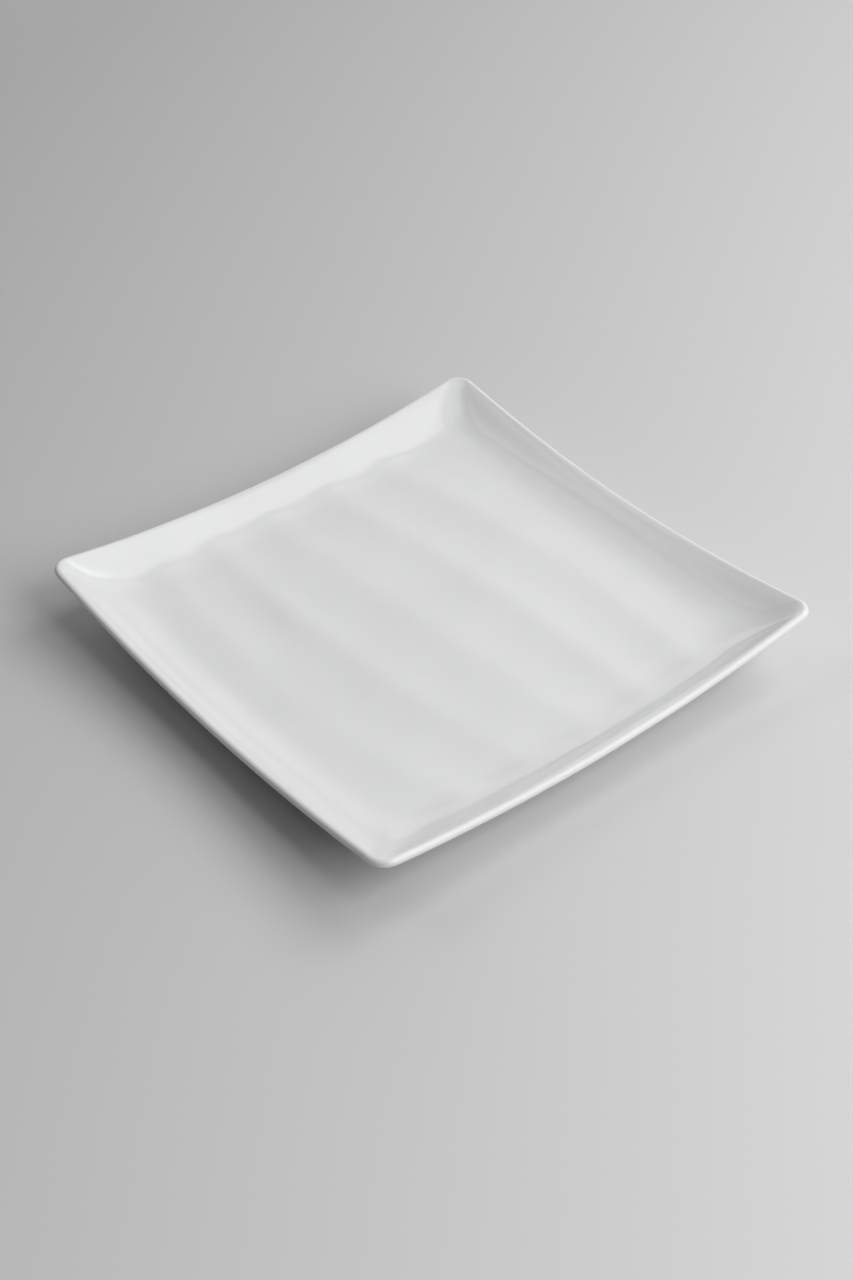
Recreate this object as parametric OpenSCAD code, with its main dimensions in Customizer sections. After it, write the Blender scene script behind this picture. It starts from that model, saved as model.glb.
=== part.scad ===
// Square dinner plate of white glazed porcelain.
// Its corners sweep up, its edges dip between them, and soft ripples cross the flat well.
// The origin is on the table under the middle of the plate, and +Z is up.
// The ripples run along Y, one after another along X.

/* [Plan] */
// Side of the plate, across the middle of two opposite edges
plate_side = 266; // [230:1:300]
// Radius of the plate's corners, seen from above
corner_r = 9.7; // [7:0.1:18]

/* [Wall] */
// How far the curved wall reaches in from the edge
wall_w = 30; // [24:1:40]
// Radius of the corners where the wall meets the well, seen from above
wall_corner_r = 20; // [19:1:32]
// Rise of the wall's upper edge over the well at the middle of an edge
wall_rise = 10; // [7:0.5:14]
// Extra rise of the corners over the middle of an edge
corner_lift = 11.1; // [3:0.1:16]
// Share of that extra rise in which the well's own corners take part
well_lift_share = 0.5; // [0:0.1:0.8]
// How far the lifted corners of the well reach in from the edge
lift_reach = 80; // [60:1:90]

/* [Thickness] */
// Thickness of the plate at its round lip
lip_t = 4.2; // [3.4:0.1:6]
// Thickness of the plate under the well
floor_t = 5; // [4:0.1:8]

/* [Ripples] */
// Distance between ripple crests across the middle of the well
ripple_pitch = 42; // [34:1:56]
// Height of a ripple from trough to crest
ripple_h = 0.8; // [0.2:0.1:1.6]
// Place of the middle crest, from the plate's centre line
ripple_x = -3; // [-10:1:10]
// Sideways drift of the crests for each unit of length along them
ripple_lean_share = 0.09; // [0:0.01:0.2]
// How much closer together the crests lie at their ends than in the middle
ripple_bow_share = 0.2; // [0:0.05:0.3]
// How much narrower the crests are than the troughs
ripple_sharp_share = 0.12; // [0:0.02:0.2]

/* [Foot ring] */
// Step in from the line where the wall meets the well to the outside of the foot ring
foot_inset = 14; // [10:1:20]
// Width of the foot ring where it meets the underside
foot_w = 7; // [6:0.5:10]
// Height of the foot ring under the glazed underside
foot_h = 9; // [3:0.5:12]
// How far each side of the foot ring leans in on the way down
foot_draft = 1; // [0.3:0.1:1.5]
// Outer radius of the foot ring's corners
foot_corner_r = 28; // [22:1:36]
// Bevel on both edges of the face that rests on the table
foot_bevel = 0.8; // [0.3:0.1:1.2]

/* [Glaze] */
// Thickness of the fired glaze
glaze_t = 0.3; // [0.2:0.05:0.5]
// Band of bare clay wiped clean on both sides of the foot ring
bare_w = 1; // [0.5:0.1:2]

/* [Hidden] */

clay_color = [0.90, 0.89, 0.86];
glaze_color = [0.92, 0.93, 0.92];

// Facets: straight stretches along X and Y, half a corner, wall and lip
n_x = 26;
n_y = 10;
n_arc = 4;
n_wall = 5;
n_lip = 4;
n_under = 2;
// Facets of the foot ring's round corners
n_round = 96;
// Angles that every corner and lip is made from
half_corner = 45;
quarter = 90;
half_turn = 180;
full_turn = 360;

// Plan: each level line of the wall is a square with round corners.
// At the outer edge the share is 0, and at the foot of the wall it is 1.
half_side = plate_side / 2;
foot_line = half_side - wall_w;
edge_straight = half_side - corner_r;
foot_straight = foot_line - wall_corner_r;
straight_drop = edge_straight - foot_straight;
radius_gain = wall_corner_r - corner_r;

lip_r = lip_t / 2;
lip_line = half_side - lip_r;
well_z = foot_h + floor_t;
// The ripples fade out on the wall between this share of its width and the wall's foot
fade_share = 0.45;
// The well's lift is whole on the wall out from this share, and gone at the reach
lift_full_share = 0.6;
lift_end_share = lift_reach / wall_w;
// On the underside the lift ends at this share, outside the foot ring
under_end_share = 1.3;
// The ripples are a little lower along the middle and at the sides than between them
calm_share = 0.3;
calm_pitches = 2.4;
// Inset of the lip's upper edge as a share of the lip's radius, used for the wall's rise and slope
lip_inset_share = 1.6;

// Foot ring: outer half side, centre of its corners, and the top that meets the clay
ring_out = foot_line - foot_inset;
ring_corner = ring_out - foot_corner_r;
ring_top = foot_h + glaze_t;
ring_in_r = foot_corner_r - foot_w;

// Straight half length and corner radius of the level line at a share
function line_straight(share) = edge_straight - straight_drop * share;
function line_radius(share) = corner_r + radius_gain * share;

// Width of the wall square to its level lines, at an angle into the corner
function wall_width(angle) =
    straight_drop * (cos(angle) + sin(abs(angle))) - radius_gain;

// Share at a place, given as the larger and the smaller distance from the centre lines
function corner_share(a, b) =
    let (
        square = 2 * straight_drop * straight_drop - radius_gain * radius_gain,
        linear = straight_drop * (a + b) - corner_r * radius_gain,
        constant = a * a + b * b - corner_r * corner_r
    )
    (sqrt(linear * linear - square * constant) - linear) / square;

function share_at(far, near) =
    let (share = (half_side - far) / wall_w)
    near <= line_straight(share)
        ? share
        : corner_share(far - edge_straight, near - edge_straight);

// Distance along the edge from its middle, levelling off towards the corner's diagonal
function along_at(far, near, share) =
    let (start = line_straight(share))
    near <= start ? near : start + (far - start) * (near - start) / line_radius(share);

// Angle into the corner at a place, zero beside the straight stretches
function angle_at(far, near, share) =
    let (start = line_straight(share))
    near <= start ? 0 : atan2(near - start, far - start);

// Smooth step from 0 at one share to 1 at another
function ease(share, from, to) =
    let (t = min(1, max(0, (share - from) / (to - from))))
    t * t * (3 - 2 * t);

// Extra rise of the edge at a distance along it
function edge_lift(along) = corner_lift * pow(along / lip_line, 2);

// Rise that the wall's parabola would have at the very edge, outside the lip's upper edge
function full_rise(along, angle) =
    (wall_rise + (1 - well_lift_share) * edge_lift(along))
        / pow(1 - lip_inset_share * lip_r / wall_width(angle), 2);

// Height over the well at a place, with the well's own lift gone at an end share
function wall_z(p, lift_end) =
    let (
        far = max(abs(p.x), abs(p.y)),
        near = min(abs(p.x), abs(p.y)),
        share = share_at(far, near),
        along = along_at(far, near, share),
        rise = full_rise(along, angle_at(far, near, share)),
        lift = share >= lift_end ? 0 : edge_lift(along) * ease(share, lift_end, lift_full_share)
    )
    rise * pow(max(0, 1 - share), 2) + well_lift_share * lift;

// Slope of the wall at a station and a share, as an angle
function wall_slope(station, share) =
    let (
        angle = abs(station[1]),
        along = abs(station[0]) * edge_straight + corner_r * sin(2 * angle) / 2,
        rise = full_rise(along, angle)
    )
    share >= 1 ? 0 : atan(2 * rise * (1 - share) / wall_width(angle));

// Ripples: a cosine wave across the well, leaning and bowed, with narrow crests
function calm(x) =
    1 - calm_share * pow(cos(half_turn * x / (calm_pitches * ripple_pitch)), 2);

function ripple_wave(p) =
    let (
        lean = ripple_lean_share * p.y * (1 - pow(p.x / half_side, 2)),
        bow = 1 - ripple_bow_share * pow(p.y / half_side, 2),
        turn = full_turn * (p.x - ripple_x + lean) / (bow * ripple_pitch)
    )
    cos(turn) + ripple_sharp_share * cos(2 * turn);

function ripple_z(p) =
    let (
        far = max(abs(p.x), abs(p.y)),
        near = min(abs(p.x), abs(p.y))
    )
    ripple_h / 2 * ripple_wave(p) * calm(p.x) * ease(share_at(far, near), fade_share, 1);

// A station is a place along one side: [share of the straight stretch, angle into the corner]
function side_stations(n_straight) = concat(
    [for (i = [-n_arc : -1]) [-1, half_corner * i / n_arc]],
    [for (i = [0 : n_straight]) [2 * i / n_straight - 1, 0]],
    [for (i = [1 : n_arc]) [1, half_corner * i / n_arc]]
);

stations_x = side_stations(n_x);
stations_y = side_stations(n_y);
last_x = len(stations_x) - 1;
last_y = len(stations_y) - 1;
n_ring = 2 * (last_x + last_y);

// Place of a station on a square with round corners: [outwards, along the side]
function on_line(station, straight, radius) = [
    straight + radius * cos(station[1]),
    station[0] * straight + radius * sin(station[1])
];

// Turns a side's own place into the plate's frame. Sides run from -Y round to -X.
function turned(p, side) =
    side == 0 ? [p.y, -p.x] : side == 1 ? p : side == 2 ? [-p.y, p.x] : -p;

// The ring of stations round the plate: [side, station, column, row] of the well's grid
ring = concat(
    [for (i = [0 : last_x - 1]) [0, stations_x[i], i, 0]],
    [for (j = [0 : last_y - 1]) [1, stations_y[j], last_x, j]],
    [for (i = [0 : last_x - 1]) [2, stations_x[i], last_x - i, last_y]],
    [for (j = [0 : last_y - 1]) [3, stations_y[j], 0, last_y - j]]
);

// Rows of points. The depth is how far under the glaze's own surface the row lies.
function raised(p, z) = [p.x, p.y, z];

function well_row(depth) =
    let (
        inset = foot_straight + wall_corner_r * cos(half_corner)
    )
    [
        for (j = [0 : last_y], i = [0 : last_x])
            let (
                a = on_line(stations_x[i], foot_straight, wall_corner_r),
                b = on_line(stations_y[j], foot_straight, wall_corner_r),
                p = [a.y * b.x, b.y * a.x] / inset
            )
            raised(p, upper_z(p) - depth)
    ];

// Slope, share and inset of the lip's upper edge at a station
function lip_slope(station) =
    wall_slope(station, lip_inset_share * lip_r / wall_width(station[1]));
function lip_inset(station) = lip_r * (1 + sin(lip_slope(station)));

// The lip's upper edge in plan
function lip_edge(station) =
    on_line(station, edge_straight, corner_r)
        - lip_inset(station) * [cos(station[1]), sin(station[1])];

// Plan place of a wall row: row 0 is the lip's upper edge, row n_wall the wall's foot
function wall_place(station, row) =
    let (
        start = lip_edge(station),
        first = share_at(max(start.x, abs(start.y)), min(start.x, abs(start.y))),
        share = first + (1 - first) * row / n_wall
    )
    row == 0 ? start : on_line(station, line_straight(share), line_radius(share));

function row_share(station, row) =
    let (p = wall_place(station, row))
    share_at(max(p.x, abs(p.y)), min(p.x, abs(p.y)));

function row_slope(station, row) =
    row == 0 ? lip_slope(station) : wall_slope(station, row_share(station, row));

// Place at a depth under a height at a wall row, square to the wall
function under(s, row, z, depth) =
    let (
        station = s[1],
        slope = row_slope(station, row),
        out = [cos(station[1]), sin(station[1])]
    )
    raised(
        turned(wall_place(station, row) + depth * sin(slope) * out, s[0]),
        z - depth * cos(slope)
    );

function upper_z(p) = well_z + wall_z(p, lift_end_share) + ripple_z(p);
function lower_z(p) = well_z + wall_z(p, under_end_share);

function wall_row(row, depth) =
    [for (s = ring) under(s, row, upper_z(turned(wall_place(s[1], row), s[0])), depth)];

// The lip turns from the upper edge round to the lower one
function lip_row(row, depth) = [
    for (s = ring)
        let (
            station = s[1],
            slope = lip_slope(station),
            out = [cos(station[1]), sin(station[1])],
            centre = under(s, 0, upper_z(lip_edge(station)), lip_r),
            turn = quarter + slope - half_turn * row / n_lip,
            side = turned(out, s[0]) * (lip_r - depth) * cos(turn)
        )
        raised([centre.x, centre.y] + side, centre.z + (lip_r - depth) * sin(turn))
];

function thickness(row) = lip_t + (floor_t - lip_t) * row / n_wall;
function outside_row(row, depth) =
    [for (s = ring) under(s, row, lower_z(wall_place(s[1], row)), thickness(row) - depth)];

// Rows under the rim of the well, from the wall's foot to where the underside is flat
function under_row(row, depth) = [
    for (s = ring)
        let (
            share = 1 + (under_end_share - 1) * row / n_under,
            p = on_line(s[1], line_straight(share), line_radius(share))
        )
        raised(turned(p, s[0]), lower_z(p) - floor_t + depth)
];

// Edge of the glaze beside the foot ring
function bare_row(depth) = [
    for (s = ring)
        raised(turned(on_line(s[1], ring_corner, foot_corner_r + bare_w), s[0]), foot_h + depth)
];

// One skin of the plate: well, wall, lip and outside, from the middle outwards and back under
function skin(depth) = concat(
    well_row(depth),
    [for (row = [1 : n_wall]) each wall_row(n_wall - row, depth)],
    [for (row = [1 : n_lip]) each lip_row(row, depth)],
    [for (row = [1 : n_wall]) each outside_row(row, depth)],
    [for (row = [1 : n_under]) each under_row(row, depth)]
);

n_well = (last_x + 1) * (last_y + 1);
n_rings = 2 * n_wall + n_lip + n_under;

function well_index(i, j) = j * (last_x + 1) + i;
function ring_index(r, k) =
    let (s = ring[k % n_ring])
    r == 0 ? well_index(s[2], s[3]) : n_well + (r - 1) * n_ring + k % n_ring;

well_faces = [
    for (j = [0 : last_y - 1], i = [0 : last_x - 1])
        let (
            a = well_index(i, j),
            b = well_index(i, j + 1),
            c = well_index(i + 1, j + 1),
            d = well_index(i + 1, j)
        )
        each [[a, b, c], [a, c, d]]
];

function strip(inner, outer) = [
    for (k = [0 : n_ring - 1])
        let (m = (k + 1) % n_ring)
        each [[inner[k], inner[m], outer[m]], [inner[k], outer[m], outer[k]]]
];

function ring_indices(r) = [for (k = [0 : n_ring - 1]) ring_index(r, k)];

skin_faces = concat(
    well_faces,
    [for (r = [0 : n_rings - 1]) each strip(ring_indices(r), ring_indices(r + 1))]
);

function shifted(faces, by) = [for (f = faces) [for (i = f) i + by]];
function flipped(faces) = [for (f = faces) [f[0], f[2], f[1]]];
function run_of(first) = [for (k = [0 : n_ring - 1]) first + k];

// Fired clay of the plate, everything but the foot ring
module plate_body() {
    color(clay_color)
        polyhedron(
            points = skin(glaze_t),
            faces = concat(skin_faces, [ring_indices(n_rings)])
        );
}

// Glaze over the well, the wall, the lip and the outside, down to the bare band at the foot ring
module glaze_coat() {
    outer = skin(0);
    inner = skin(glaze_t);
    n_skin = len(outer);
    edge_out = run_of(2 * n_skin);
    edge_in = run_of(2 * n_skin + n_ring);
    last_out = ring_indices(n_rings);
    last_in = [for (i = last_out) i + n_skin];
    color(glaze_color)
        polyhedron(
            points = concat(outer, inner, bare_row(0), bare_row(glaze_t)),
            faces = concat(
                skin_faces,
                flipped(shifted(skin_faces, n_skin)),
                strip(last_out, edge_out),
                strip(edge_out, edge_in),
                strip(edge_in, last_in)
            )
        );
}

// Section of the foot ring, from its outer radius in to its inner radius.
// Its sides lean towards each other on the way down, as on a plate that leaves a mould.
module foot_section(outer) {
    inner = outer - foot_w;
    polygon([
        [outer, ring_top],
        [outer - foot_draft, foot_bevel],
        [outer - foot_draft - foot_bevel, 0],
        [inner + foot_draft + foot_bevel, 0],
        [inner + foot_draft, foot_bevel],
        [inner, ring_top]
    ]);
}

// Unglazed ring that the plate stands on
module foot_ring() {
    color(clay_color)
        for (side = [0 : 3])
            rotate([0, 0, quarter * side]) {
                translate([ring_corner, ring_corner, 0])
                    rotate_extrude(angle = quarter, $fn = n_round)
                        foot_section(foot_corner_r);
                translate([ring_corner, ring_corner, 0])
                    rotate([quarter, 0, 0])
                        linear_extrude(height = 2 * ring_corner)
                            foot_section(foot_corner_r);
            }
}

// Glaze on the underside inside the foot ring
module glaze_panel() {
    straight = ring_corner;
    r = ring_in_r - bare_w;
    color(glaze_color)
        translate([0, 0, foot_h])
            linear_extrude(height = glaze_t) {
                square([2 * (straight + r), 2 * straight], center = true);
                square([2 * straight, 2 * (straight + r)], center = true);
                for (x = [-straight, straight], y = [-straight, straight])
                    translate([x, y])
                        circle(r = r, $fn = n_round);
            }
}

plate_body();
foot_ring();
glaze_coat();
glaze_panel();
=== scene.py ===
"""Square dinner plate of white glazed porcelain: its looks, around the fixed CAD frame."""
import math

import bpy
import numpy as np
from mathutils import Matrix, Vector


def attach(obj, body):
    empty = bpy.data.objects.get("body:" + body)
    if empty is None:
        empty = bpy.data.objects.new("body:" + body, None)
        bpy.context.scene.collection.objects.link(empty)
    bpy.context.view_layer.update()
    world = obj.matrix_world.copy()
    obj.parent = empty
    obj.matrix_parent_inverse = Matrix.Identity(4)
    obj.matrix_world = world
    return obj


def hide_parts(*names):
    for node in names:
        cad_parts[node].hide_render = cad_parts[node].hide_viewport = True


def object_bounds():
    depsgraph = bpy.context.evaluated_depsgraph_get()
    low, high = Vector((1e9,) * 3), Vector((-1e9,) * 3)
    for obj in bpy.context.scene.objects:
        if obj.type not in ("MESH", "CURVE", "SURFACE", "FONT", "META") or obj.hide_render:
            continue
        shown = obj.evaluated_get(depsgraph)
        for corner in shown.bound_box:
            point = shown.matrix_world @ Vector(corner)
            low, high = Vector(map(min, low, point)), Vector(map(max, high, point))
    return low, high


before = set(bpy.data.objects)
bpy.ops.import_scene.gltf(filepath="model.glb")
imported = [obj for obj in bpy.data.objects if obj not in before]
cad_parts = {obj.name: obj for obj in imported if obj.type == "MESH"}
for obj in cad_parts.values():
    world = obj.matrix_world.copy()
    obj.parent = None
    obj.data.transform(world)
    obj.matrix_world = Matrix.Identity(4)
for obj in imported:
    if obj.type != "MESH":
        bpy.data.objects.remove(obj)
cad_low, cad_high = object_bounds()

MM = 0.001

# The plate's driving sizes, in millimetres, as in the part's source
PLATE_SIDE = 266.0
CORNER_R = 9.7
WALL_W = 30.0
WALL_CORNER_R = 20.0
WALL_RISE = 10.0
CORNER_LIFT = 11.1
WELL_LIFT_SHARE = 0.5
LIFT_REACH = 80.0
LIP_T = 4.2
FLOOR_T = 5.0
RIPPLE_PITCH = 42.0
RIPPLE_H = 0.8
RIPPLE_X = -3.0
RIPPLE_LEAN_SHARE = 0.09
RIPPLE_BOW_SHARE = 0.2
RIPPLE_SHARP_SHARE = 0.12
FOOT_INSET = 14.0
FOOT_W = 7.0
FOOT_H = 9.0
FOOT_DRAFT = 1.0
FOOT_CORNER_R = 28.0
FOOT_BEVEL = 0.8
GLAZE_T = 0.3
BARE_W = 1.0

# Places as shares of the wall's width, 0 at the edge, 1 at its foot and more in the well: where the
# ripples have faded out, where the corners' lift is full and where it ends, above and underneath
FADE_SHARE = 0.45
LIFT_FULL_SHARE = 0.6
LIFT_END_SHARE = LIFT_REACH / WALL_W
UNDER_END_SHARE = 1.3

# The ripple is weaker by this share in the middle, and again after this many pitches to each side
CALM_SHARE = 0.3
CALM_PITCHES = 2.4

# Where the wall runs into the lip, in lip radii from the edge, and how far in its place is searched for
LIP_INSET_SHARE = 1.6
LIP_SEARCH_SHARE = 0.6

# How the wall's foot is softened: share of the reach and weight of each circle, and points on each
SOFTEN_REACH = 9.0
SOFTEN_SHARE = 0.55
SOFTEN_CIRCLES = ((0.5, 1.0), (1.0, 0.5))
SOFTEN_POINTS = 12

# How the wall rolls over into the lip
ROLL_REACH = 9.0
ROLL_CURVE = 0.09

# The faint unevenness of the clay: height and pitch of its longest wave, and how the others follow
WAVER_H = 0.05
WAVER_PITCH = 70.0
WAVER_STEP = 1.45
WAVER_COUNT = 6
WAVER_POWER = 1.2
WAVER_START = 0.5
WAVER_TURN = 2.4
WAVER_SHIFT = 1.7

# One stretch of ripple that is bolder than the rest
BOLD_SHARE = 1.15
BOLD_X, BOLD_Y = -60.0, 45.0
BOLD_W, BOLD_L = 20.0, 17.0

# The underside's own finish
FOOT_FILLET = 0.8
PANEL_CALM_SHARE = 0.2

HALF_SIDE = PLATE_SIDE / 2
FOOT_LINE = HALF_SIDE - WALL_W
EDGE_STRAIGHT = HALF_SIDE - CORNER_R
FOOT_STRAIGHT = FOOT_LINE - WALL_CORNER_R
STRAIGHT_DROP = EDGE_STRAIGHT - FOOT_STRAIGHT
RADIUS_GAIN = WALL_CORNER_R - CORNER_R
LIP_R = LIP_T / 2
LIP_LINE = HALF_SIDE - LIP_R
WELL_Z = FOOT_H + FLOOR_T
RING_OUT = FOOT_LINE - FOOT_INSET
RING_CORNER = RING_OUT - FOOT_CORNER_R
RING_TOP = FOOT_H + GLAZE_T
LIP_INSET = LIP_INSET_SHARE * LIP_R
TOP_Z = cad_high[2] / MM

# How finely the surfaces are drawn and searched
N_X, N_Y, N_ARC = 130, 70, 9
N_WALL, N_LIP, N_UNDER = 26, 14, 6
N_BEAD, N_PANEL = 4, 24
ROW_POWER = 1.25
SLOPE_STEP = 0.05
LIP_TRIES = 4
HALVINGS = 30
TINY = 1e-9

QUARTER_TURN = math.pi / 2
HALF_CORNER = math.pi / 4


def line_straight(share):
    return EDGE_STRAIGHT - STRAIGHT_DROP * share


def line_radius(share):
    return CORNER_R + RADIUS_GAIN * share


def wall_width(angle):
    """Width of the wall square to its level lines, at an angle into the corner."""
    return STRAIGHT_DROP * (np.cos(angle) + np.sin(np.abs(angle))) - RADIUS_GAIN


def share_at(far, near):
    """0 at the outer edge and 1 at the wall's foot, by the two distances from the centre lines."""
    beside = (HALF_SIDE - far) / WALL_W
    a, b = far - EDGE_STRAIGHT, near - EDGE_STRAIGHT
    square = 2 * STRAIGHT_DROP**2 - RADIUS_GAIN**2
    linear = STRAIGHT_DROP * (a + b) - CORNER_R * RADIUS_GAIN
    constant = a * a + b * b - CORNER_R**2
    root = np.sqrt(np.maximum(linear * linear - square * constant, 0.0))
    return np.where(near <= line_straight(beside), beside, (root - linear) / square)


def ease(share, start, end):
    t = np.clip((share - start) / (end - start), 0.0, 1.0)
    return t * t * (3 - 2 * t)


def edge_lift(along):
    return CORNER_LIFT * (along / LIP_LINE) ** 2


def roll_drop(inset):
    """How far the wall falls short of its parabola where it rolls over into the lip."""
    return ROLL_CURVE / 2 * np.maximum(ROLL_REACH - inset, 0.0) ** 2


def full_rise(along, angle):
    at_lip = WALL_RISE + (1 - WELL_LIFT_SHARE) * edge_lift(along) + roll_drop(LIP_INSET)
    eased_width = WALL_W + (wall_width(HALF_CORNER) - WALL_W) * np.sin(2 * angle) ** 2
    return at_lip / (1 - LIP_INSET / eased_width) ** 2


def far_near(x, y):
    return np.maximum(np.abs(x), np.abs(y)), np.minimum(np.abs(x), np.abs(y))


def edge_inset(x, y):
    """Distance in from the plate's edge, seen from above."""
    far, near = far_near(x, y)
    past_far, past_near = far - EDGE_STRAIGHT, near - EDGE_STRAIGHT
    corner = np.hypot(np.maximum(past_far, 0), np.maximum(past_near, 0))
    return CORNER_R - corner + np.maximum(-past_far, 0)


def plain_wall_z(x, y, lift_end):
    """Height of the wall and the lifted corners over the well."""
    far, near = far_near(x, y)
    share = share_at(far, near)
    start, radius = line_straight(share), line_radius(share)
    beside = near <= start
    along = np.where(beside, near, start + (far - start) * (near - start) / radius)
    angle = np.where(beside, 0.0, np.arctan2(near - start, np.maximum(far - start, TINY)))
    lift = edge_lift(along) * ease(share, lift_end, LIFT_FULL_SHARE)
    wall = full_rise(along, angle) * np.maximum(0.0, 1 - share) ** 2
    return wall + WELL_LIFT_SHARE * lift - roll_drop(edge_inset(x, y))


def wall_z(x, y, lift_end):
    """The wall's height, averaged on two small circles, so that its parts flow together."""
    reach = np.minimum(SOFTEN_REACH, SOFTEN_SHARE * np.maximum(edge_inset(x, y) - LIP_R, 0))
    total, weight = plain_wall_z(x, y, lift_end), 1.0
    for point in range(SOFTEN_POINTS):
        turn = 2 * math.pi * point / SOFTEN_POINTS
        for share, part in SOFTEN_CIRCLES:
            beside_x = x + share * reach * math.cos(turn)
            beside_y = y + share * reach * math.sin(turn)
            total = total + part * plain_wall_z(beside_x, beside_y, lift_end)
            weight += part
    return total / weight


def ripple_z(x, y):
    """Ripples across the well: a cosine wave that leans and bows, with narrow crests."""
    far, near = far_near(x, y)
    lean = RIPPLE_LEAN_SHARE * y * (1 - (x / HALF_SIDE) ** 2)
    bow = 1 - RIPPLE_BOW_SHARE * (y / HALF_SIDE) ** 2
    turn = 2 * math.pi * (x - RIPPLE_X + lean) / (bow * RIPPLE_PITCH)
    wave = np.cos(turn) + RIPPLE_SHARP_SHARE * np.cos(2 * turn)
    calm = 1 - CALM_SHARE * np.cos(math.pi * x / (CALM_PITCHES * RIPPLE_PITCH)) ** 2
    bold = 1 + BOLD_SHARE * np.exp(-(((x - BOLD_X) / BOLD_W) ** 2) - ((y - BOLD_Y) / BOLD_L) ** 2)
    return RIPPLE_H / 2 * wave * calm * bold * ease(share_at(far, near), FADE_SHARE, 1.0)


def waver_z(x, y):
    """Faint unevenness of the pressed clay and its glaze: waves that cross at odd angles."""
    total = np.zeros_like(x)
    for k in range(WAVER_COUNT):
        size = WAVER_STEP ** -k
        way = WAVER_TURN * k + WAVER_START
        across = x * math.cos(way) + y * math.sin(way)
        turn = 2 * math.pi * across / (WAVER_PITCH * size) + WAVER_SHIFT * k
        total = total + WAVER_H * size ** WAVER_POWER * np.sin(turn)
    return total


def upper_z(x, y):
    return WELL_Z + wall_z(x, y, LIFT_END_SHARE) + ripple_z(x, y) + waver_z(x, y)


def lower_z(x, y):
    """The height that the underside lies beneath: the upper one, but flat inside the wall."""
    waver = waver_z(x, y) * (1 - ease(share_at(*far_near(x, y)), FADE_SHARE, 1.0))
    return WELL_Z + wall_z(x, y, UNDER_END_SHARE) + waver


def slopes(height_of, x, y):
    """Slopes of a height along X and along Y."""
    along_x = height_of(x + SLOPE_STEP, y) - height_of(x - SLOPE_STEP, y)
    along_y = height_of(x, y + SLOPE_STEP) - height_of(x, y - SLOPE_STEP)
    return along_x / (2 * SLOPE_STEP), along_y / (2 * SLOPE_STEP)


def outward(x, y):
    """Direction to the nearest place on the plate's edge, seen from above."""
    past_x, past_y = np.abs(x) - EDGE_STRAIGHT, np.abs(y) - EDGE_STRAIGHT
    corner = (past_x > 0) & (past_y > 0)
    out_x = np.where(corner, past_x, past_x >= past_y)
    out_y = np.where(corner, past_y, past_x < past_y)
    length = np.hypot(out_x, out_y)
    return np.sign(x) * out_x / length, np.sign(y) * out_y / length


def side_stations(n_straight):
    """Places along one side: share of the straight stretch, and angle into the corner."""
    into = HALF_CORNER * np.arange(1, N_ARC + 1) / N_ARC
    straight = np.linspace(-1, 1, n_straight + 1)
    shares = np.concatenate([-np.ones(N_ARC), straight, np.ones(N_ARC)])
    angles = np.concatenate([-into[::-1], np.zeros(n_straight + 1), into])
    return shares, angles


def on_line(shares, angles, straight, radius):
    """Places on a square with round corners: outwards, and along the side."""
    return straight + radius * np.cos(angles), shares * straight + radius * np.sin(angles)


def turned(x, y, sides):
    """Turns a side's own place into the plate's frame. Sides run from -Y round to -X."""
    px = np.choose(sides, [y, x, -y, -x])
    py = np.choose(sides, [-x, y, x, -y])
    return px, py


class Ring:
    """The stations all round the plate, with their columns and rows in the well's grid."""

    def __init__(self):
        sx, ax = side_stations(N_X)
        sy, ay = side_stations(N_Y)
        self.x_side, self.y_side = (sx, ax), (sy, ay)
        self.last_x, self.last_y = len(sx) - 1, len(sy) - 1
        nx, ny = self.last_x, self.last_y
        self.shares = np.concatenate([sx[:-1], sy[:-1], sx[:-1], sy[:-1]])
        self.angles = np.concatenate([ax[:-1], ay[:-1], ax[:-1], ay[:-1]])
        self.sides = np.repeat([0, 1, 2, 3], [nx, ny, nx, ny])
        i, j = np.arange(nx), np.arange(ny)
        self.columns = np.concatenate([i, np.full(ny, nx), nx - i, np.zeros(ny, int)])
        self.rows = np.concatenate([np.zeros(nx, int), j, np.full(nx, ny), ny - j])
        self.count = len(self.sides)


RING = Ring()


def well_grid():
    """Plan places of the well's grid, from its round corners inwards."""
    ax, bx = on_line(*RING.x_side, FOOT_STRAIGHT, WALL_CORNER_R)
    ay, by = on_line(*RING.y_side, FOOT_STRAIGHT, WALL_CORNER_R)
    inset = FOOT_STRAIGHT + WALL_CORNER_R * math.cos(HALF_CORNER)
    x = bx[None, :] * ay[:, None] / inset
    y = by[:, None] * ax[None, :] / inset
    return x.ravel(), y.ravel()


def stacked(x, y, z):
    return np.stack([x, y, z], axis=1)


def ring_plan(straight, radius):
    x, y = on_line(RING.shares, RING.angles, straight, radius)
    return turned(x, y, RING.sides)


def beneath(height_of, x, y, depth):
    """Places at a depth under a height, square to its surface."""
    slope_x, slope_y = slopes(height_of, x, y)
    down = depth / np.sqrt(1 + slope_x**2 + slope_y**2)
    return stacked(x + down * slope_x, y + down * slope_y, height_of(x, y) - down)


def lip_start():
    """Where the wall runs into the lip: its shares, plan places, directions outwards and slopes."""
    inset = np.full(RING.count, LIP_INSET)
    for _ in range(LIP_TRIES):
        outer, inner = np.zeros(RING.count), np.full(RING.count, LIP_SEARCH_SHARE)
        for _ in range(HALVINGS):
            share = (outer + inner) / 2
            x, y = ring_plan(line_straight(share), line_radius(share))
            beyond = edge_inset(x, y) < inset
            outer, inner = np.where(beyond, share, outer), np.where(beyond, inner, share)
        out_x, out_y = outward(x, y)
        slope_x, slope_y = slopes(upper_z, x, y)
        slope = np.arctan(slope_x * out_x + slope_y * out_y)
        inset = LIP_R * (1 + np.sin(slope))
    return share, (x, y), (out_x, out_y), slope


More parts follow.
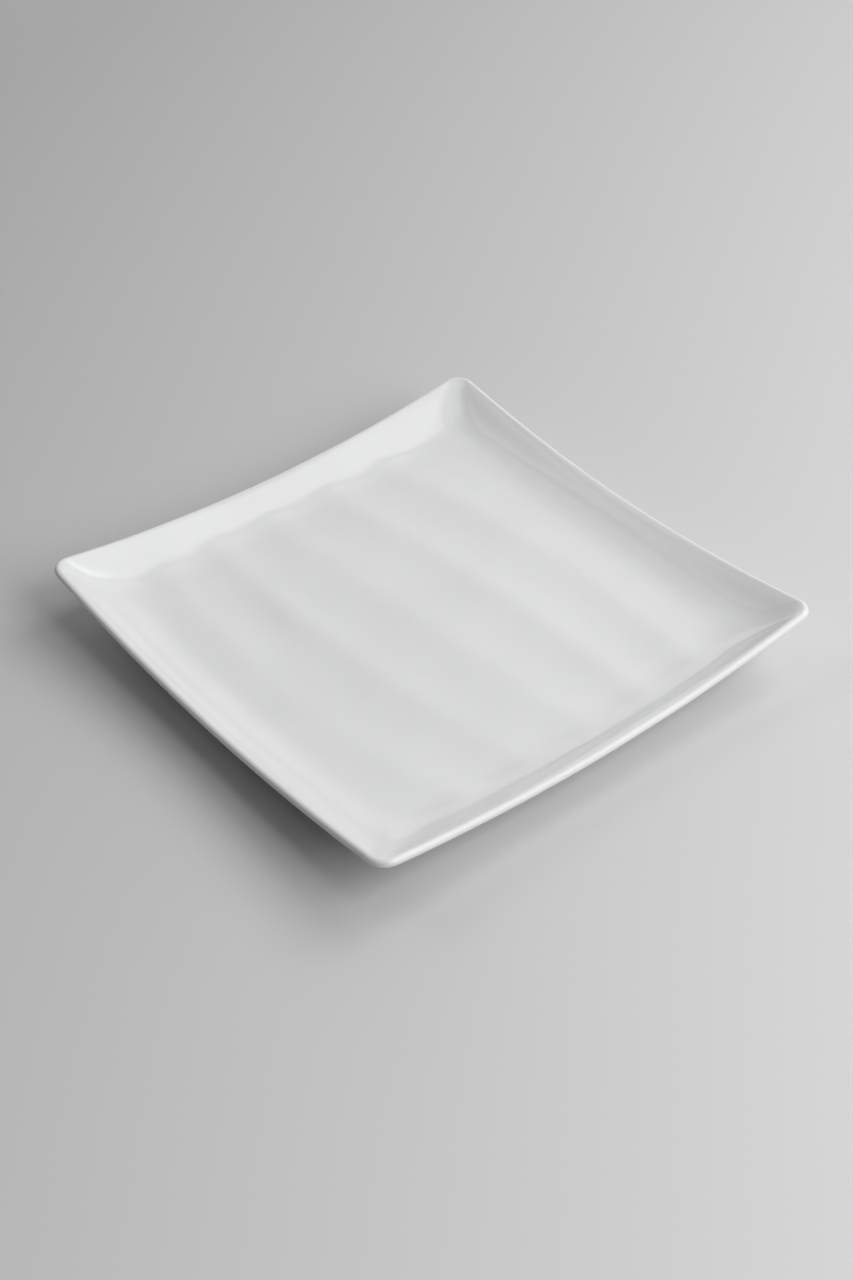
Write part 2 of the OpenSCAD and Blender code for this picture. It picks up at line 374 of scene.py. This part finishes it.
def skin_rows(depth):
    """One skin of the plate, from the well's grid over the lip to the flat underside."""
    first, (x0, y0), (out_x, out_y), slope0 = lip_start()
    wall = [first + (1 - first) * (row / N_WALL) ** ROW_POWER for row in range(N_WALL + 1)]

    def wall_row(share, height_of, down):
        return beneath(height_of, *ring_plan(line_straight(share), line_radius(share)), down)

    rows = [beneath(upper_z, *well_grid(), depth)]
    rows += [wall_row(share, upper_z, depth) for share in wall[-2::-1]]
    sink, shift = LIP_R * np.cos(slope0), LIP_R * np.sin(slope0)
    centre = stacked(x0 + shift * out_x, y0 + shift * out_y, upper_z(x0, y0) - sink)
    for row in range(1, N_LIP + 1):
        turn = QUARTER_TURN + slope0 - math.pi * row / N_LIP
        reach = (LIP_R - depth) * np.cos(turn)
        rows.append(centre + stacked(reach * out_x, reach * out_y, (LIP_R - depth) * np.sin(turn)))
    for row in range(1, N_WALL + 1):
        thickness = LIP_T + (FLOOR_T - LIP_T) * row / N_WALL
        rows.append(wall_row(wall[row], lower_z, thickness - depth))
    for row in range(1, N_UNDER + 1):
        share = 1 + (UNDER_END_SHARE - 1) * row / N_UNDER
        rows.append(wall_row(np.full(RING.count, share), lower_z, FLOOR_T - depth))
    return rows


def foot_row(offset, z):
    """A row round the foot ring, at a distance out from its outer side and at a height."""
    px, py = ring_plan(RING_CORNER, FOOT_CORNER_R + offset)
    return stacked(px, py, np.full(RING.count, z))


def bead_rows(offset, way):
    """Round edge of the underside's glaze, from its lower face up to the clay beside the foot ring."""
    turns = np.linspace(0, QUARTER_TURN, N_BEAD + 1)
    return [foot_row(offset + way * GLAZE_T * (1 - math.sin(turn)),
                     FOOT_H + GLAZE_T * (1 - math.cos(turn)))
            for turn in turns]


def strip(inner, outer):
    """Faces between two rows of points, given by their indices."""
    return np.stack([inner, outer, np.roll(outer, -1), np.roll(inner, -1)], axis=1).tolist()


def fan(row, centre):
    return np.stack([row, np.full(len(row), centre), np.roll(row, -1)], axis=1).tolist()


def row_indices(first, count):
    return [first + RING.count * k + np.arange(RING.count) for k in range(count)]


def strips(rows):
    return [face for inner, outer in zip(rows, rows[1:]) for face in strip(inner, outer)]


def skin_faces(n_rows):
    """Faces of one skin, and the indices of its last row."""
    nx, ny = RING.last_x, RING.last_y
    i, j = np.meshgrid(np.arange(nx), np.arange(ny))
    a = (j * (nx + 1) + i).ravel()
    faces = np.stack([a, a + 1, a + nx + 2, a + nx + 1], axis=1).tolist()
    rows = [RING.rows * (nx + 1) + RING.columns] + row_indices((nx + 1) * (ny + 1), n_rows)
    return faces + strips(rows), rows[-1]


def mesh_object(name, points_mm, faces, smooth=True):
    mesh = bpy.data.meshes.new(name)
    mesh.from_pydata((np.asarray(points_mm) * MM).tolist(), [], faces)
    mesh.validate()
    mesh.polygons.foreach_set("use_smooth", [smooth] * len(mesh.polygons))
    obj = bpy.data.objects.new(name, mesh)
    bpy.context.scene.collection.objects.link(obj)
    return obj


def under_top(rows):
    """All the points of some rows, no higher than the frame's own corners."""
    points = np.concatenate(rows)
    points[:, 2] = np.minimum(points[:, 2], TOP_Z)
    return points


def glaze_coat():
    """The fired glaze over well, wall, lip and outside, as a closed thin shell."""
    outer, inner = skin_rows(0.0), skin_rows(GLAZE_T)
    faces, last = skin_faces(len(outer) - 1)
    n_skin = sum(len(row) for row in outer)
    bead = bead_rows(BARE_W, 1)
    inner_faces = [[i + n_skin for i in reversed(face)] for face in faces]
    edge = strips([last] + row_indices(2 * n_skin, len(bead)) + [last + n_skin])
    points = under_top(outer + inner + bead)
    return mesh_object("glaze_coat_skin", points, faces + inner_faces + edge)


def plate_body():
    """The fired clay under the glaze, closed by its flat underside."""
    rows = skin_rows(GLAZE_T)
    faces, last = skin_faces(len(rows) - 1)
    n_skin = sum(len(row) for row in rows)
    centre = np.array([[0.0, 0.0, RING_TOP]])
    return mesh_object("plate_body_clay", under_top(rows + [centre]), faces + fan(last, n_skin))


def foot_ring():
    """The bare foot: leaning sides, rounded edges, and a small fillet under the plate."""
    turns = np.linspace(0, QUARTER_TURN, N_BEAD + 1)
    side = [(FOOT_FILLET * (1 - math.sin(turn)), RING_TOP - FOOT_FILLET * (1 - math.cos(turn)))
            for turn in turns]
    side += [(-FOOT_DRAFT - FOOT_BEVEL * (1 - math.cos(turn)), FOOT_BEVEL * (1 - math.sin(turn)))
             for turn in turns]
    section = side + [(-FOOT_W - offset, z) for offset, z in reversed(side)]
    rows = [foot_row(offset, z) for offset, z in section]
    indices = row_indices(0, len(rows))
    return mesh_object("foot_ring_clay", np.concatenate(rows), strips(indices + indices[:1]))


def glaze_panel():
    """The glaze inside the foot ring: a round edge, crisp where it meets the clay, and faintly uneven."""
    rows = bead_rows(-FOOT_W - BARE_W, -1)[::-1]
    flat_edge = rows[-1]
    for row in range(1, N_PANEL):
        share = 1 - row / N_PANEL
        level = flat_edge * [share, share, 1]
        level[:, 2] += ease(1 - share, 0, PANEL_CALM_SHARE) * waver_z(level[:, 0], level[:, 1])
        rows.append(level)
    middle = float(waver_z(np.zeros(1), np.zeros(1))[0])
    top, bottom = [0.0, 0.0, RING_TOP], [0.0, 0.0, FOOT_H + middle]
    indices = row_indices(0, len(rows))
    n_rows = sum(len(row) for row in rows)
    upper = [face[::-1] for face in fan(indices[0], n_rows)]
    faces = strips(indices) + upper + fan(indices[-1], n_rows + 1)
    panel = mesh_object("glaze_panel_skin", np.concatenate(rows + [[top], [bottom]]), faces)
    for side in panel.data.edges:
        side.use_edge_sharp = max(side.vertices) < RING.count
    return panel


# Looks of the glaze: tones and where each is reached, gloss, and the orange peel's bumps in metres
GLAZE_TONES = ((0.3, (0.750, 0.757, 0.755, 1)), (0.7, (0.775, 0.782, 0.780, 1)))
GLAZE_ROUGHNESS = (0.11, 0.17)
GLAZE_IOR = 1.46
POOL_SCALE, POOL_DETAIL = 22.0, 3.0
PEEL_SCALE, PEEL_DETAIL = 160.0, 2.0
PEEL_STRENGTH, PEEL_BUMP = 0.25, 0.0001

# Looks of the bare clay
CLAY_TONES = ((0.0, (0.62, 0.60, 0.56, 1)), (1.0, (0.78, 0.765, 0.73, 1)))
CLAY_ROUGHNESS = 0.6
GRAIN_SCALE, GRAIN_DETAIL = 900.0, 4.0
GRAIN_STRENGTH, GRAIN_BUMP = 0.5, 0.0001


def new_material(name):
    mat = bpy.data.materials.new(name)
    mat.use_nodes = True
    nodes, links = mat.node_tree.nodes, mat.node_tree.links
    return mat, nodes, links, nodes["Principled BSDF"]


def add_noise(nodes, links, where, scale, detail):
    """A soft noise that is fixed to the piece."""
    noise = nodes.new("ShaderNodeTexNoise")
    noise.inputs["Scale"].default_value = scale
    noise.inputs["Detail"].default_value = detail
    links.new(where.outputs["Object"], noise.inputs["Vector"])
    return noise.outputs["Fac"]


def add_tones(nodes, links, value, tones, shader):
    """Base colour that runs between two tones."""
    ramp = nodes.new("ShaderNodeValToRGB")
    for element, (position, colour) in zip(ramp.color_ramp.elements, tones):
        element.position = position
        element.color = colour
    links.new(value, ramp.inputs["Fac"])
    links.new(ramp.outputs["Color"], shader.inputs["Base Color"])


def add_bump(nodes, links, height, strength, distance, shader):
    bump = nodes.new("ShaderNodeBump")
    bump.inputs["Strength"].default_value = strength
    bump.inputs["Distance"].default_value = distance
    links.new(height, bump.inputs["Height"])
    links.new(bump.outputs["Normal"], shader.inputs["Normal"])


def glaze_material():
    """Clear white glaze: bright and smooth, with a faint pooling of tone and a soft orange peel."""
    mat, nodes, links, shader = new_material("white_glaze")
    where = nodes.new("ShaderNodeTexCoord")
    pool = add_noise(nodes, links, where, POOL_SCALE, POOL_DETAIL)
    add_tones(nodes, links, pool, GLAZE_TONES, shader)
    gloss = nodes.new("ShaderNodeMapRange")
    gloss.inputs["To Min"].default_value, gloss.inputs["To Max"].default_value = GLAZE_ROUGHNESS
    links.new(pool, gloss.inputs["Value"])
    links.new(gloss.outputs["Result"], shader.inputs["Roughness"])
    peel = add_noise(nodes, links, where, PEEL_SCALE, PEEL_DETAIL)
    add_bump(nodes, links, peel, PEEL_STRENGTH, PEEL_BUMP, shader)
    shader.inputs["IOR"].default_value = GLAZE_IOR
    return mat


def clay_material():
    """Bare fired clay: matt, a little warmer than the glaze, with a fine grain."""
    mat, nodes, links, shader = new_material("bare_clay")
    where = nodes.new("ShaderNodeTexCoord")
    grain = add_noise(nodes, links, where, GRAIN_SCALE, GRAIN_DETAIL)
    add_tones(nodes, links, grain, CLAY_TONES, shader)
    add_bump(nodes, links, grain, GRAIN_STRENGTH, GRAIN_BUMP, shader)
    shader.inputs["Roughness"].default_value = CLAY_ROUGHNESS
    return mat


def paint(obj, mat):
    obj.data.materials.clear()
    obj.data.materials.append(mat)


# The floor: half its side in millimetres, its tones, and the way in which it darkens, to the back
# left, from one distance to another in metres; this darkening is painted shade, away from the main
# softbox
FLOOR_HALF = 4000.0
FLOOR_SHADE_TONES = ((0.0, (0.71, 0.71, 0.71, 1)), (1.0, (0.50, 0.50, 0.50, 1)))
FLOOR_SHADE_WAY = (-0.32, 0.95, 0)
FLOOR_SHADE_REACH = (-0.4, 0.6)
FLOOR_ROUGHNESS = 0.8
FLOOR_SPECULAR = 0.2

# The backdrop: its colour, and how much of it lights the plate
BACKDROP = (0.5, 0.5, 0.5, 1)
BACKDROP_LIGHT = 0.04

# The floor fades into the backdrop between two distances from a place by the far corner, in metres
FADE_ROUND = (0.13, 0.16, 0)
FADE_FROM = 0.6
FADE_TO = 1.05


def floor_material():
    """Pale studio floor, with painted shade that darkens it towards the back left, away from the main
    softbox.
    """
    mat, nodes, links, shader = new_material("studio_floor")
    where = nodes.new("ShaderNodeTexCoord")
    along = nodes.new("ShaderNodeVectorMath")
    along.operation = "DOT_PRODUCT"
    links.new(where.outputs["Object"], along.inputs[0])
    along.inputs[1].default_value = FLOOR_SHADE_WAY
    # Painted shade: the floor's colour runs to its darker tone away from the main softbox
    depth = nodes.new("ShaderNodeMapRange")
    depth.inputs["From Min"].default_value, depth.inputs["From Max"].default_value = FLOOR_SHADE_REACH
    links.new(along.outputs["Value"], depth.inputs["Value"])
    add_tones(nodes, links, depth.outputs["Result"], FLOOR_SHADE_TONES, shader)
    shader.inputs["Roughness"].default_value = FLOOR_ROUGHNESS
    shader.inputs["Specular IOR Level"].default_value = FLOOR_SPECULAR
    fade_to_backdrop(nodes, links, where, shader)
    return mat


def fade_to_backdrop(nodes, links, where, shader):
    """Far from the plate the floor is seen in the backdrop's colour, so no horizon shows."""
    reach = nodes.new("ShaderNodeVectorMath")
    reach.operation = "DISTANCE"
    links.new(where.outputs["Object"], reach.inputs[0])
    reach.inputs[1].default_value = FADE_ROUND
    far = nodes.new("ShaderNodeMapRange")
    far.interpolation_type = "SMOOTHSTEP"
    far.inputs["From Min"].default_value = FADE_FROM
    far.inputs["From Max"].default_value = FADE_TO
    links.new(reach.outputs["Value"], far.inputs["Value"])
    share = nodes.new("ShaderNodeMath")
    share.operation = "MULTIPLY"
    links.new(far.outputs["Result"], share.inputs[0])
    links.new(seen_share(nodes, links), share.inputs[1])
    glow = nodes.new("ShaderNodeEmission")
    glow.inputs["Color"].default_value = BACKDROP
    mix = nodes.new("ShaderNodeMixShader")
    links.new(share.outputs["Value"], mix.inputs["Fac"])
    links.new(shader.outputs["BSDF"], mix.inputs[1])
    links.new(glow.outputs["Emission"], mix.inputs[2])
    links.new(mix.outputs["Shader"], nodes["Material Output"].inputs["Surface"])


def make_floor():
    half = FLOOR_HALF
    corners = [(-half, -half, 0), (half, -half, 0), (half, half, 0), (-half, half, 0)]
    floor = mesh_object("studio_floor", corners, [[0, 1, 2, 3]], smooth=False)
    paint(floor, floor_material())


# The photograph's camera, in millimetres and degrees, from the plate's own edges
CAMERA_AT = Vector((-481.8, -600.1, 663.0))
CAMERA_AZIMUTH = math.radians(-38.75)
CAMERA_ELEVATION = math.radians(40.76)
CAMERA_ROLL = math.radians(-0.70)
LENS_MM = 57.53
SENSOR_MM = 36.0

# The nearest and farthest distance that the camera draws, in metres
CLIP_RANGE = (0.01, 50)


def make_camera():
    az, el, roll = CAMERA_AZIMUTH, CAMERA_ELEVATION, CAMERA_ROLL
    back = Vector((math.sin(az) * math.cos(el), -math.cos(az) * math.cos(el), math.sin(el)))
    right = Vector((math.cos(az), math.sin(az), 0))
    up = back.cross(right)
    right_rolled = right * math.cos(roll) + up * math.sin(roll)
    up_rolled = up * math.cos(roll) - right * math.sin(roll)
    turn = Matrix((right_rolled, up_rolled, back)).transposed()
    data = bpy.data.cameras.new("camera")
    data.lens = LENS_MM
    data.sensor_width = SENSOR_MM
    data.clip_start, data.clip_end = CLIP_RANGE
    cam = bpy.data.objects.new("camera", data)
    cam.matrix_world = Matrix.Translation(CAMERA_AT * MM) @ turn.to_4x4()
    bpy.context.scene.collection.objects.link(cam)
    bpy.context.scene.camera = cam


def softbox(name, centre, across, upward, radiance):
    """A flat soft light that faces the plate: its middle and two half sides, in metres."""
    centre, across, upward = Vector(centre), Vector(across), Vector(upward)
    width, height = 2 * across.length, 2 * upward.length
    away = across.cross(upward).normalized()
    if away.dot(centre) < 0:
        away = -away
    data = bpy.data.lights.new(name, "AREA")
    data.shape = "RECTANGLE"
    data.size, data.size_y = width, height
    data.energy = math.pi * width * height * radiance
    light = bpy.data.objects.new(name, data)
    x = across.normalized()
    turn = Matrix((x, away.cross(x), away)).transposed().to_4x4()
    light.matrix_world = Matrix.Translation(centre) @ turn
    light.visible_camera = False
    bpy.context.scene.collection.objects.link(light)


def dome_box(name, azimuths, elevations, radiance):
    """A softbox that spans two azimuths and two elevations, in degrees, as the plate sees it."""
    azimuth, elevation = (math.radians(sum(pair) / 2) for pair in (azimuths, elevations))
    half_turn, half_rise = (math.radians((b - a) / 2) for a, b in (azimuths, elevations))
    level = math.cos(elevation)
    toward = Vector((level * math.cos(azimuth), level * math.sin(azimuth), math.sin(elevation)))
    across = Vector((-math.sin(azimuth), math.cos(azimuth), 0))
    upward = toward.cross(across)
    across *= DOME_R * math.tan(half_turn) * level
    upward *= DOME_R * math.tan(half_rise)
    softbox(name, toward * DOME_R, across, upward, radiance)


# The main softbox slopes down towards the front: its height over the middle, and its rise along Y
KEY_Z = 1.81
KEY_SLOPE = 0.547

# Panels of the main softbox: name, lowest and highest X, lowest and highest Y in metres, radiance
KEY_PANELS = [
    ("key_back", (0.66, 1.49), (-0.79, 0.29), 2.3),
    ("key_right", (1.49, 2.50), (-0.79, 0.39), 3.5),
    ("key_middle", (0.57, 1.49), (-1.36, -0.79), 2.8),
    ("key_front", (0.57, 1.49), (-1.95, -1.36), 2.5),
    ("key_left", (-0.16, 0.57), (-1.95, -0.79), 4.9),
]

# Softboxes on a dome round the plate: its radius in metres, and the name, azimuths and elevations in
# degrees, and radiance of each
DOME_R = 2.5
DOME_PANELS = [
    ("low_front", (-75, -45), (6, 20), 0.7),
    ("low_right", (-45, -14), (8, 26), 0.6),
    ("low_side", (-14, 20), (4, 16), 0.3),
    ("low_back", (22, 50), (12, 32), 0.45),
    ("far_glow", (50, 66), (1, 28), 1.15),
    ("low_far", (66, 92), (4, 38), 0.4),
    ("far_left", (92, 110), (22, 34), 0.5),
    ("side", (-12, 34), (28, 58), 0.8),
    ("back_right", (28, 64), (28, 58), 0.4),
    ("back", (64, 92), (38, 60), 0.5),
    ("back_left", (88, 112), (32, 58), 0.45),
    ("top_left", (108, 136), (38, 58), 1.85),
]

# A small softbox straight above the plate
OVERHEAD_Z = 2.5
OVERHEAD_HALF = 0.45
OVERHEAD_RADIANCE = 1.1


def key_panel(name, along_x, along_y, radiance):
    """One flat panel of the main softbox."""
    middle_x, middle_y = sum(along_x) / 2, sum(along_y) / 2
    half_x, half_y = (along_x[1] - along_x[0]) / 2, (along_y[1] - along_y[0]) / 2
    centre = (middle_x, middle_y, KEY_Z + KEY_SLOPE * middle_y)
    softbox(name, centre, (half_x, 0, 0), (0, half_y, KEY_SLOPE * half_y), radiance)


def make_lights():
    for panel in KEY_PANELS:
        key_panel(*panel)
    for panel in DOME_PANELS:
        dome_box(*panel)
    across, upward = (OVERHEAD_HALF, 0, 0), (0, OVERHEAD_HALF, 0)
    softbox("overhead", (0, 0, OVERHEAD_Z), across, upward, OVERHEAD_RADIANCE)


def seen_share(nodes, links):
    """1 for rays that show the backdrop, straight on or in gloss and glass, else 0."""
    path = nodes.new("ShaderNodeLightPath")
    glossy = nodes.new("ShaderNodeMath")
    glossy.use_clamp = True
    links.new(path.outputs["Is Camera Ray"], glossy.inputs[0])
    links.new(path.outputs["Is Glossy Ray"], glossy.inputs[1])
    clear = nodes.new("ShaderNodeMath")
    clear.use_clamp = True
    links.new(glossy.outputs["Value"], clear.inputs[0])
    links.new(path.outputs["Is Transmission Ray"], clear.inputs[1])
    return clear.outputs["Value"]


def make_world():
    """A pale backdrop to look at, which hardly lights the plate."""
    world = bpy.data.worlds.new("studio")
    world.use_nodes = True
    nodes, links = world.node_tree.nodes, world.node_tree.links
    background = nodes["Background"]
    background.inputs["Color"].default_value = BACKDROP
    strength = nodes.new("ShaderNodeMapRange")
    strength.inputs["To Min"].default_value = BACKDROP_LIGHT
    links.new(seen_share(nodes, links), strength.inputs["Value"])
    links.new(strength.outputs["Result"], background.inputs["Strength"])
    bpy.context.scene.world = world


make_camera()
make_floor()
make_lights()
make_world()

glaze = glaze_material()
clay = clay_material()

PIECES = [
    (glaze_coat, "glaze_coat", "glaze", glaze),
    (plate_body, "plate_body", "fired_clay", clay),
    (foot_ring, "foot_ring", "foot_clay", clay),
    (glaze_panel, "glaze_panel", "glaze", glaze),
]
for make, node, slot, material in PIECES:
    piece = make()
    paint(piece, material)
    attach(piece, "root")
    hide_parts(node)

scene = bpy.context.scene
scene.view_settings.view_transform = "Standard"
